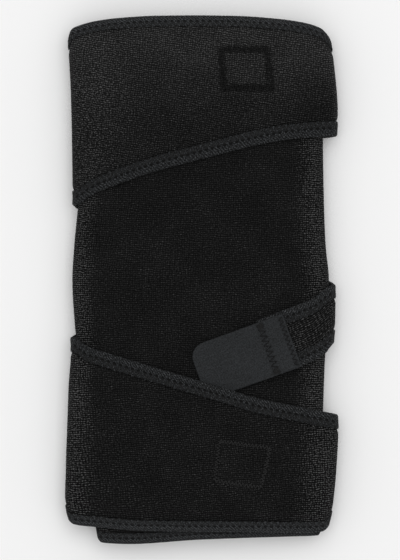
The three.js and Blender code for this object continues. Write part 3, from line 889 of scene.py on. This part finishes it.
def tape_section(wall, wide):
    """The folded tape's section as arrays of reach in from the edge and off from mid-cloth: outside from
    one inner edge round the fold to the other, then back inside."""
    outer_half, inner_half = wall / 2, wall / 2 - TAPE_WALL
    leg_reach = wide[:, None] * (1 - TAPE_STATIONS)
    edge = EDGE_PRESS * (1 - np.sin(np.pi * np.clip(TAPE_STATIONS * EDGE_RATE, 0, 0.5)))
    fold = FOLD_PRESS * ease((TAPE_STATIONS - FOLD_PRESS_AT) / FOLD_PRESS_RUN)
    leg_off = np.broadcast_to(outer_half * (1 - edge - fold), leg_reach.shape)
    round_fold = (len(wide), len(TAPE_FOLD))
    fold_reach = np.broadcast_to(outer_half * (1 - np.cos(TAPE_FOLD)), round_fold)
    fold_off = np.broadcast_to(outer_half * np.sin(TAPE_FOLD) * (1 - FOLD_PRESS), round_fold)
    reach = np.concatenate([leg_reach, fold_reach, leg_reach[:, ::-1]], axis=1)
    off = np.concatenate([leg_off, fold_off, -leg_off[:, ::-1]], axis=1)
    inner_reach = np.maximum(reach[:, ::-1], TAPE_WALL)
    inner_off = np.clip(off[:, ::-1], -inner_half, inner_half)
    return np.concatenate([reach, inner_reach], axis=1), np.concatenate([off, inner_off], axis=1)


def girth_of():
    """The way round the section from the fold, on a tape of full width, for the tape's own pattern."""
    reach, off = tape_section(WRAP_WALL, np.array([TAPE_WIDTH]))
    return np.where(off[0] < 0, -1, 1) * reach[0]


def evenly(path, step):
    """Picks stations evenly along a path of arrays, whose way gives the length so far."""
    count = 1 + int(path["way"][-1] / step)
    way = np.linspace(0, path["way"][-1], count)
    return {key: np.interp(way, path["way"], values) for key, values in path.items()}


def with_way(path, edge):
    """Adds the length so far, stretched a little so that whole stitches fit."""
    points = edge(path, 0, 0)
    steps = np.linalg.norm(np.diff(points, axis=0), axis=1)
    way = np.concatenate([[0], np.cumsum(steps)])
    return {**path, "way": way / way[-1] * STITCH_PITCH * round(way[-1] / STITCH_PITCH)}


def zigzag(path, edge, near, far, level):
    """A zigzag's stitches between two reaches, as shares of the tape's width."""
    way = np.arange(0, path["way"][-1] + 0.01, STITCH_PITCH / 2)
    at = {key: np.interp(way, path["way"], values) for key, values in path.items()}
    reach = at["wide"] * np.where(np.arange(len(way)) % 2, far, near)
    points = edge(at, reach, level)
    lift = edge(at, reach, level + 1) - points
    points[:, 2] = np.maximum(points[:, 2], 2 * STITCH_RADIUS)
    return threads(points, lift)


def add_binding(node, path, edge, wall, around, sewing):
    """A folded tape along a path, and its zigzag stitches. edge gives a point from a station, a reach in
    from the edge and the way off mid-cloth."""
    path = with_way(path, edge)
    at = evenly(path, TAPE_STEP)
    if around:
        at = {key: values[:-1] for key, values in at.items()}
    scallop = 1 + SCALLOP * np.cos(2 * np.pi * at["way"] / STITCH_PITCH)
    reach, off = tape_section(wall, at["wide"] * scallop)
    rings = edge({key: values[:, None] for key, values in at.items()}, reach, off)
    way = np.append(at["way"], path["way"][-1]) if around else at["way"]
    # rim: how narrow the tape is; rim tapes get stronger ribs and painted light
    rim = np.clip((TAPE_WIDTH - at["wide"]) / (TAPE_WIDTH - RIM_TAPE_WIDTH), 0, 1)
    piece = add_tube(f"{node}_tape", rings, way, girth_of(), around, tape, {"rim": rim})
    dress(piece, "tape", node)
    near, far, level = sewing
    stitches = zigzag(path, edge, near, far, wall / 2 * level)
    return [piece, add_stitches(f"{node}_stitches", stitches, thread)]


def root_seam(low, high, on_root):
    """A zigzag across a root from one side to the other. on_root gives a point from a side, the way in
    from the cut edge and the way off the cloth."""
    count = int((high - low) / STITCH_PITCH * ROOT_THREADS)
    side = np.linspace(low + ROOT_MARGIN, high - ROOT_MARGIN, count)
    way_in = ROOT_SEAM + ROOT_SWING * swings(count)
    points = on_root(side, way_in, 0)
    return threads(points, on_root(side, way_in, 1) - points)


# Sleeve

thigh_rim = curve(THIGH_RIM, "across", "along")
calf_rim = curve(CALF_RIM, "across", "along")
sleeve_rim = curve(SLEEVE_RIM, "across", "along")
sleeve_hem = curve(SLEEVE_HEM, "across", "along")


def open_share(turn, left, right):
    """How open the knit is: it stretches round the folds, as far across as left and right say."""
    across = across_of(turn)
    return 1 - ease(np.minimum(np.abs(across) / left, np.abs(1 - across) / right) - FULLY_OPEN)


def row_stops(height, low_tape, high_tape, step, least):
    """Rows from one edge to the other, close together beside the tapes: one list for each height."""
    low, high = low_tape + TAPE_GAP, high_tape + TAPE_GAP
    count = max(least, int((np.max(height) - low - high - 2 * PUFF_RUN) / step))

    def run(start, end, steps):
        share = np.arange(steps) / steps
        return start + (end - start) * share

    height = np.asarray(height, float)[:, None]
    ones = np.ones_like(height)
    return np.concatenate(
        [
            run(TAPE_INSET * ones, low * ones, TAPE_ROWS),
            run(low * ones, (low + PUFF_RUN) * ones, PUFF_ROWS),
            run((low + PUFF_RUN) * ones, height - high - PUFF_RUN, count),
            run(height - high - PUFF_RUN, height - high, PUFF_ROWS),
            run(height - high, height - TAPE_INSET, TAPE_ROWS),
            height - TAPE_INSET,
        ],
        axis=1,
    )


def make_sleeve():
    turn = turns_between(-0.5, 1.5, SLEEVE_STEP)[:-1]
    across = seen_from_front(across_of(turn))
    low, high = y_of(sleeve_hem(across)), y_of(sleeve_rim(across))
    rows = row_stops(high - low, RIM_TAPE_WIDTH, RIM_TAPE_WIDTH, SLEEVE_STEP, least=20)
    y = low[:, None] + rows
    turn = turn[:, None]
    clear = np.minimum(rows, (high - low)[:, None] - rows) - RIM_TAPE_WIDTH
    half = SLEEVE_WALL / 2 * puff(clear, SLEEVE_WALL)
    inner = place(turn, y, SLEEVE_WALL / 2 - half)
    outer = place(turn, y, SLEEVE_WALL / 2 + half)
    way = np.append(way_of(turn[:, 0]), way_of(1.5))[:, None]
    across_way = np.concatenate([y, y[:1]])
    opened = np.broadcast_to(open_share(turn, *SLEEVE_OPEN), y.shape)
    paint = {"open": opened, "sewn": 0 * y, "painted_light": 0 * y}
    piece = add_wall("sleeve_cloth", inner, outer, way, across_way, True, knits["sleeve"], paint)
    dress(piece, "knit", "sleeve")
    bindings = []
    stations = np.linspace(-0.5, 1.5, SLEEVE_STATIONS)
    path = {"turn": stations, "wide": np.full(SLEEVE_STATIONS, RIM_TAPE_WIDTH)}
    for name, rim, inward in (("bottom", sleeve_hem, 1), ("top", sleeve_rim, -1)):

        def edge(at, reach, off, rim=rim, inward=inward):
            start = y_of(rim(seen_from_front(across_of(at["turn"]))))
            return place(at["turn"], start + inward * reach, SLEEVE_WALL / 2 + off)

        bindings += add_binding(f"sleeve_{name}_binding", path, edge, SLEEVE_WALL, True, RIM_ZIGZAG)


# Hook tab

strap_along = curve(STRAP_ROUTE, "across", "along")
strap_lean = curve(STRAP_ROUTE, "across", "lean")
strap_span = curve(STRAP_ROUTE, "across", "span")


def tab_point(length, side):
    """A point of the tab's outline plane: length runs from the cut end to the round one."""
    start_y = y_of(strap_along(TAB_ACROSS))
    left, width = outside(start_y)
    up = side - TAB_DROP
    x = left + TAB_ACROSS * width - length * math.cos(TAB_HEADING) - up * math.sin(TAB_HEADING)
    return x, start_y - length * math.sin(TAB_HEADING) + up * math.cos(TAB_HEADING)


def tab_depth(length):
    over = STRAP_WALL + LAYER_GAP
    return WRAP_DEPTH + over * (1 - ease((length - TAB_OVERLAP - LAYER_GAP) / TAB_RAMP))


def on_tab(length, side, depth):
    x, y = tab_point(length, side)
    left, width = outside(y)
    return place(turn_of((x - left) / width), y, tab_depth(length) + depth)


# Seams across the tab: how far from the cut end, the zigzag's half width and pitch, and how dark each is
TAB_SEAMS = [
    {"at": 2.3, "half": 1.5, "pitch": 2.9, "dark": 0.12},
    {"at": 15.2, "half": 2.4, "pitch": 3.1, "dark": 0.25},
]
SEAM_MARGIN = 1.5  # from a seam's ends to the tab's sides
SEAM_SINK = 0.28  # how far a seam presses the tab in, and how deep its threads lie
SEAM_DEPTH = 0.25

# Bar tacks at both ends of the second seam, and the dark spot round each
TACK_THREADS = 10
TACK_SPAN = (0.8, 4.4)  # in from the tab's side
TACK_SWING = 2.2
TACK_DEPTH = 0.15
SPOT_AT, SPOT_SPREAD, SPOT_DARK = 2.6, 1.5, 0.6

# The tab's rows and columns, close together beside its edges, and its rounded edge
CUT_ROWS = (0, 0.12, 0.35)
TAB_ROWS, CORNER_ROWS, TAB_COLUMNS = 74, 14, 34
SIDE_COLUMNS = (0.92, 0.96, 0.985, 1)
EDGE_SHARE, EDGE_RUN = 0.45, 0.7


def tab_outline(length):
    past = np.maximum(length - (TAB_LENGTH - TAB_RADIUS), 0)
    return TAB_WIDTH / 2 - TAB_RADIUS + np.sqrt(np.maximum(TAB_RADIUS**2 - past**2, 0))


def tab_threads(length, side, depth):
    points = on_tab(length, side, depth)
    return threads(points, on_tab(length, side, depth + 1) - points)


def make_tab():
    straight = np.linspace(CUT_ROWS[-1], TAB_LENGTH - TAB_RADIUS, TAB_ROWS)
    corner = TAB_RADIUS * np.sin(np.linspace(0, np.pi / 2, CORNER_ROWS)[1:])
    length = np.concatenate([CUT_ROWS[:-1], straight, TAB_LENGTH - TAB_RADIUS + corner])[:, None]
    half = tab_outline(length)
    rim, last = np.array(SIDE_COLUMNS[1:]), SIDE_COLUMNS[0]
    side = half * np.concatenate([-rim[::-1], np.linspace(-last, last, TAB_COLUMNS), rim])
    edge = np.minimum(np.minimum(half - np.abs(side), length), TAB_LENGTH - length)
    round_edge = np.sqrt(1 - (1 - np.clip(edge / EDGE_RUN, 0, 1)) ** 2)
    thick = TAB_WALL / 2 * (EDGE_SHARE + (1 - EDGE_SHARE) * round_edge)
    pressed = [ease(1.6 - np.abs(length - seam["at"]) / seam["half"]) for seam in TAB_SEAMS]
    sewn = np.broadcast_to(sum(pressed), side.shape)
    spots = np.exp(-(((np.abs(side) - TAB_WIDTH / 2 + SPOT_AT) / SPOT_SPREAD) ** 2)) * sewn
    dark = sum(seam["dark"] * share for seam, share in zip(TAB_SEAMS, pressed)) + SPOT_DARK * spots
    inner = on_tab(length, side, TAB_WALL / 2 - thick)
    outer = on_tab(length, side, TAB_WALL / 2 + thick - SEAM_SINK * sewn)
    piece = add_wall("hook_tab_cloth", inner, outer, length, side, False, hook_cloth, {"sewn": dark})
    dress(piece, "hook_cloth", "hook_tab")
    runs = []
    for seam in TAB_SEAMS:
        count = int((TAB_WIDTH - 2 * SEAM_MARGIN) / (seam["pitch"] / 2))
        at_side = np.linspace(-TAB_WIDTH / 2 + SEAM_MARGIN, TAB_WIDTH / 2 - SEAM_MARGIN, count)
        at_length = seam["at"] + seam["half"] * swings(count)
        runs.append(tab_threads(at_length, at_side, TAB_WALL - SEAM_DEPTH))
    stitches = add_stitches("hook_tab_stitches", joined(runs), dark_thread, SEAM_RADIUS)
    runs = []
    for end in (-1, 1):
        at_side = end * (TAB_WIDTH / 2 - np.linspace(*TACK_SPAN, TACK_THREADS))
        at_length = TAB_SEAMS[1]["at"] + TACK_SWING * swings(TACK_THREADS)
        runs.append(tab_threads(at_length, at_side, TAB_WALL - TACK_DEPTH))
    tacks = add_stitches("hook_tab_bar_tacks", joined(runs), thread, FINE_RADIUS)


tuck_x, tuck_y = tab_point(TAB_LENGTH - TAB_RADIUS, -TAB_WIDTH / 2)


def tuck_lift(turn, y):
    """The lower wrap rises over the tab's tucked corner."""
    left, width = outside(y)
    away = np.hypot(left + across_of(turn) * width - tuck_x, y - tuck_y)
    lift = (TAB_WALL + LAYER_GAP) * (1 - ease((away - TUCK_FLAT) / TUCK_RUN))
    return np.where((turn < 0) | (turn > 1), 0, lift)


# Wraps


def slack_of(rows):
    left, right = curve(rows, "along", "left"), curve(rows, "along", "right")
    return lambda along: WRAP_SLACK * left(along), lambda along: WRAP_SLACK * right(along)


upper_hem = curve(UPPER_WRAP_HEM, "across", "along")
lower_hem = curve(LOWER_WRAP_HEM, "across", "along")
WRAPS = {
    "upper_wrap": {
        "slack": slack_of(UPPER_SLACK),
        "lift": lambda turn, y: 0 * y,
        "low": lambda across: y_of(upper_hem(across)),
        "high": lambda across: y_of(thigh_rim(seen_from_front(across))),
        "low_tape": TAPE_WIDTH,
        "high_tape": RIM_TAPE_WIDTH,
        "mark": UPPER_MARK,
        "open": (0.2, 0.02),
        "open_along": lambda y: 1 - 0.75 * ease((along_of(y) - 0.84) / 0.1),
        # painted light: a slight lift over the whole wrap, growing towards its top
        "painted_light": lambda y: 0.1 + 0.85 * ease((along_of(y) - 0.78) / 0.18),
    },
    "lower_wrap": {
        "slack": slack_of(LOWER_SLACK),
        "lift": tuck_lift,
        "low": lambda across: y_of(calf_rim(seen_from_front(across))),
        "high": lambda across: y_of(lower_hem(across)),
        "low_tape": RIM_TAPE_WIDTH,
        "high_tape": TAPE_WIDTH,
        "mark": LOWER_MARK,
        "open": (0.08, 0.13),
        "open_along": lambda y: 0.85 + 0 * y,
        "painted_light": lambda y: 0 * y,
    },
}


def tip_per_mm(wrap):
    return across_per((wrap["low"](WRAP_TIP) + wrap["high"](WRAP_TIP)) / 2)


def wrap_path(wrap):
    """Round the wrap's bound edge: out along its low side, round the tip, and back along the other."""
    per_mm = tip_per_mm(wrap)
    straight = np.linspace(WRAP_ROOT, WRAP_TIP - TIP_RADIUS * per_mm, WRAP_STATIONS)
    angle = np.linspace(0, np.pi / 2, TIP_STATIONS)[1:]
    bent = WRAP_TIP - TIP_RADIUS * (1 - np.sin(angle)) * per_mm
    across = np.concatenate([straight, bent])
    angle = np.concatenate([0 * straight, angle])
    cut = TIP_RADIUS * (1 - np.cos(angle))
    low = {"across": across, "y": wrap["low"](across) + cut, "in_y": np.cos(angle)}
    high = {"across": across, "y": wrap["high"](across) - cut, "in_y": -np.cos(angle)}
    for side, tape_name in ((low, "low_tape"), (high, "high_tape")):
        side["in_x"] = -np.sin(angle)
        side["wide"] = wrap[tape_name] + (TAPE_WIDTH - wrap[tape_name]) * np.sin(angle)
    return {key: np.concatenate([low[key], high[key][::-1]]) for key in low}


def add_wrap(name, wrap):
    def edge(at, reach, off):
        y = at["y"] + at["in_y"] * reach
        turn = turn_of(at["across"] + at["in_x"] * reach * across_per(at["y"]))
        depth = WRAP_DEPTH + WRAP_WALL / 2 + off + wrap["lift"](turn, y)
        return place(turn, y, depth, wrap["slack"])

    per_mm = tip_per_mm(wrap)
    body = turns_between(turn_of(WRAP_ROOT), turn_of(WRAP_TIP - TIP_RADIUS * per_mm), CLOTH_STEP)
    angle = np.linspace(0, np.pi / 2, TIP_COLUMNS)[1:]
    radius = TIP_RADIUS - TAPE_INSET
    bent = turn_of(WRAP_TIP - (TIP_RADIUS - radius * np.sin(angle)) * per_mm)
    turn = np.concatenate([body, bent])
    across = across_of(turn)
    tip = (WRAP_TIP - across) / per_mm
    cut = np.concatenate([np.full(len(body), TAPE_INSET), TIP_RADIUS - radius * np.cos(angle)])
    hem, top = wrap["low"](across), wrap["high"](across)
    rows = row_stops(top - hem, wrap["low_tape"], wrap["high_tape"], CLOTH_STEP, least=40)
    share = (rows - TAPE_INSET) / ((top - hem)[:, None] - 2 * TAPE_INSET)
    y = (hem + cut)[:, None] + share * (top - hem - 2 * cut)[:, None]
    turn, tip, across = turn[:, None], tip[:, None], across[:, None]
    from_low = y - hem[:, None] - wrap["low_tape"]
    from_high = top[:, None] - y - wrap["high_tape"]
    clear = np.minimum(np.minimum(from_low, from_high), tip - TAPE_WIDTH)
    half = WRAP_WALL / 2 * puff(clear, WRAP_WALL)
    level = WRAP_DEPTH + WRAP_WALL / 2 + wrap["lift"](turn, y)
    mark = wrap["mark"]
    flat = place(turn, y, level, wrap["slack"])
    front = np.where((turn > 0) & (turn < 1), 1.0, 0.0)
    groove = mark_band(mark, flat[..., 0], flat[..., 1], (1, 1, 1, 1)) * front
    dark = mark_band(mark, flat[..., 0], flat[..., 1], mark["dark"]) * front
    root = np.minimum(root_pinch((across - WRAP_ROOT) / per_mm), half * ROOT_LIMIT)
    raised = half + rise(clear, turn) - mark["depth"] * groove - root
    inner = place(turn, y, level - half, wrap["slack"])
    outer = place(turn, y, level + raised, wrap["slack"])
    # sewn holds the box mark's dark band and the painted shade dashes beside the tapes
    paint = {
        "open": open_share(turn, *wrap["open"]) * wrap["open_along"](y),
        "sewn": np.maximum(dark, painted_shade_dashes(clear, turn)),
        "painted_light": wrap["painted_light"](y) + 0 * turn,
    }
    piece = add_wall(f"{name}_cloth", inner, outer, way_of(turn), y, False, knits[name], paint)
    dress(piece, "knit", name)
    sewn_on = add_binding(f"{name}_binding", wrap_path(wrap), edge, WRAP_WALL, False, EDGE_ZIGZAG)
    sewn_on.append(add_mark(f"{name}_mark_stitches", wrap))

    def on_root(y, way_in, off):
        depth = WRAP_DEPTH + WRAP_WALL - root_pinch(way_in) + off
        return place(turn_of(WRAP_ROOT + way_in * per_mm), y, depth, wrap["slack"])

    seam = root_seam(wrap["low"](WRAP_ROOT), wrap["high"](WRAP_ROOT), on_root)
    sewn_on.append(add_stitches(f"{name}_root_stitches", seam, thread))
    length = way_of(turn_of(WRAP_TIP)) - way_of(turn_of(WRAP_ROOT))


def add_mark(name, wrap):
    """The zigzag threads of a box mark."""
    mark = wrap["mark"]
    corners = np.array(mark["corners"])
    runs = []
    for a, b in zip(corners, np.roll(corners, -1, axis=0)):
        length = np.linalg.norm(b - a)
        along = (b - a) / length
        normal = np.array([-along[1], along[0]])
        count = int(length / MARK_STEP)
        way = np.linspace(0, length, count)
        swing = swings(count) * mark["band"] * MARK_SWING
        x, y = (a + along * way[:, None] + normal * swing[:, None]).T
        left, width = outside(y)
        turn = turn_of((x - left) / width)
        depth = WRAP_DEPTH + WRAP_WALL + wrap["lift"](turn, y) - mark["depth"] * MARK_SINK
        points = place(turn, y, depth, wrap["slack"])
        runs.append(threads(points, place(turn, y, depth + 1, wrap["slack"]) - points))
    mark_thread = thread_material(f"{name}_thread", mark["thread"])
    return add_stitches(name, joined(runs), mark_thread, FINE_RADIUS)


# Strap

strap_stand_off = curve(STRAP_SLACK, "along", "right")
strap_slack = (no_slack, lambda along: STRAP_STAND_OFF * strap_stand_off(along))


def strap_edge(at, side, depth):
    """A point of the strap: side is in millimetres up from its middle line."""
    lean = np.radians(strap_lean(at["across"]))
    y = y_of(strap_along(at["across"])) + side * np.cos(lean)
    turn = turn_of(at["across"] - side * np.sin(lean) * across_per(y))
    return place(turn, y, WRAP_DEPTH + STRAP_WALL / 2 + depth, strap_slack)


def make_strap():
    per_mm = across_per(y_of(strap_along(TAB_ACROSS)))
    start = TAB_ACROSS - (TAB_OVERLAP - LAYER_GAP) * math.cos(TAB_HEADING) * per_mm
    end = STRAP_ROUTE["across"][-1]
    turn = turns_between(turn_of(start), turn_of(end), STRAP_STEP)
    across = across_of(turn)[:, None]
    half_width = STRAP_WIDTH * strap_span(across) / 2
    rows = row_stops(2 * half_width[:, 0], STRAP_TAPE_WIDTH, STRAP_TAPE_WIDTH, STRAP_ROW, least=12)
    side = rows - half_width
    clear = half_width - np.abs(side) - STRAP_TAPE_WIDTH
    half = STRAP_WALL / 2 * puff(clear, STRAP_WALL)
    root = np.minimum(root_pinch((end - across) / per_mm), half * ROOT_LIMIT)
    inner = strap_edge({"across": across}, side, -half)
    outer = strap_edge({"across": across}, side, half - root)
    paint = {"open": 0 * side, "sewn": 0 * side, "painted_light": 0 * side}
    way = np.broadcast_to(way_of(turn)[:, None], side.shape)
    piece = add_wall("strap_cloth", inner, outer, way, side, False, knits["strap"], paint)
    dress(piece, "knit", "strap")

    def on_root(side, way_in, off):
        at = {"across": end - way_in * per_mm}
        return strap_edge(at, side, STRAP_WALL / 2 - root_pinch(way_in) + off)

    half_root = STRAP_WIDTH * strap_span(end) / 2
    sewn_on = [add_stitches("strap_root_stitches", root_seam(-half_root, half_root, on_root), thread)]
    stations = np.linspace(start, end, STRAP_STATIONS)
    path = {"across": stations, "wide": np.full(STRAP_STATIONS, STRAP_TAPE_WIDTH)}
    for name, up in (("upper", 1), ("lower", -1)):

        def edge(at, reach, off, up=up):
            return strap_edge(at, up * (STRAP_WIDTH * strap_span(at["across"]) / 2 - reach), off)

        sewn_on += add_binding(f"strap_{name}_binding", path, edge, STRAP_WALL, False, EDGE_ZIGZAG)


# Camera: straight down from far above, so that the support's length takes up the photograph's share
PICTURE_HEIGHT = 340.0  # what the frame's height spans, in millimetres
CAMERA_LENS = 200
SENSOR = 36
CAMERA_X = -1.4
SUBJECT_LEVEL = 12
camera_data = bpy.data.cameras.new("camera")
camera_data.lens = CAMERA_LENS
camera_data.sensor_width = SENSOR
camera_data.clip_end = 20
camera = add_object("camera", camera_data)
camera.location = (CAMERA_X * MM, 0, (SUBJECT_LEVEL + PICTURE_HEIGHT * CAMERA_LENS / SENSOR) * MM)
bpy.context.scene.camera = camera

make_sleeve()
make_tab()
for wrap_name, wrap_form in WRAPS.items():
    add_wrap(wrap_name, wrap_form)
make_strap()


# Floor and light, in metres
FLOOR_REACH = 3.0
FLOOR_LEVEL = -0.0003
SKY_STRENGTH = 0.81
KEY_LAMP = {"at": (0.2, 0.6, 2.6), "aim": (0, 0, 0), "size": 2.6, "power": 26}


def add_floor():
    data = bpy.data.meshes.new("floor")
    sides = ((-1, -1), (1, -1), (1, 1), (-1, 1))
    corners = [(x * FLOOR_REACH, y * FLOOR_REACH, FLOOR_LEVEL) for x, y in sides]
    data.from_pydata(corners, [], [(0, 1, 2, 3)])
    floor = add_object("floor", data)
    nodes = Nodes("floor_paint")
    coordinates = nodes.add("ShaderNodeTexCoord").outputs["Object"]
    mottle = nodes.noise(coordinates, scale=6.0, detail=2.0)
    tone = nodes.line(mottle, 0.02, 0.5, clamp=True)
    colour = nodes.ramp(tone, [(0.0, (0.84, 0.84, 0.84)), (1.0, (0.86, 0.86, 0.86))])
    data.materials.append(nodes.finish(colour, mottle, depth=0.01, roughness=0.9, sheen=0.0, level=0.1))


def add_lamp(name, lamp):
    data = bpy.data.lights.new(name, "AREA")
    data.shape = "SQUARE"
    data.size = lamp["size"]
    data.energy = lamp["power"]
    light = add_object(name, data)
    light.location = lamp["at"]
    toward = Vector(lamp["aim"]) - Vector(lamp["at"])
    light.rotation_euler = toward.to_track_quat("-Z", "Y").to_euler()


def add_sky():
    world = bpy.data.worlds.new("soft_sky")
    world.use_nodes = True
    background = world.node_tree.nodes["Background"]
    background.inputs["Color"].default_value = (1, 1, 1, 1)
    background.inputs["Strength"].default_value = SKY_STRENGTH
    bpy.context.scene.world = world


add_floor()
add_sky()
add_lamp("key", KEY_LAMP)
bpy.context.scene.view_settings.view_transform = "Standard"
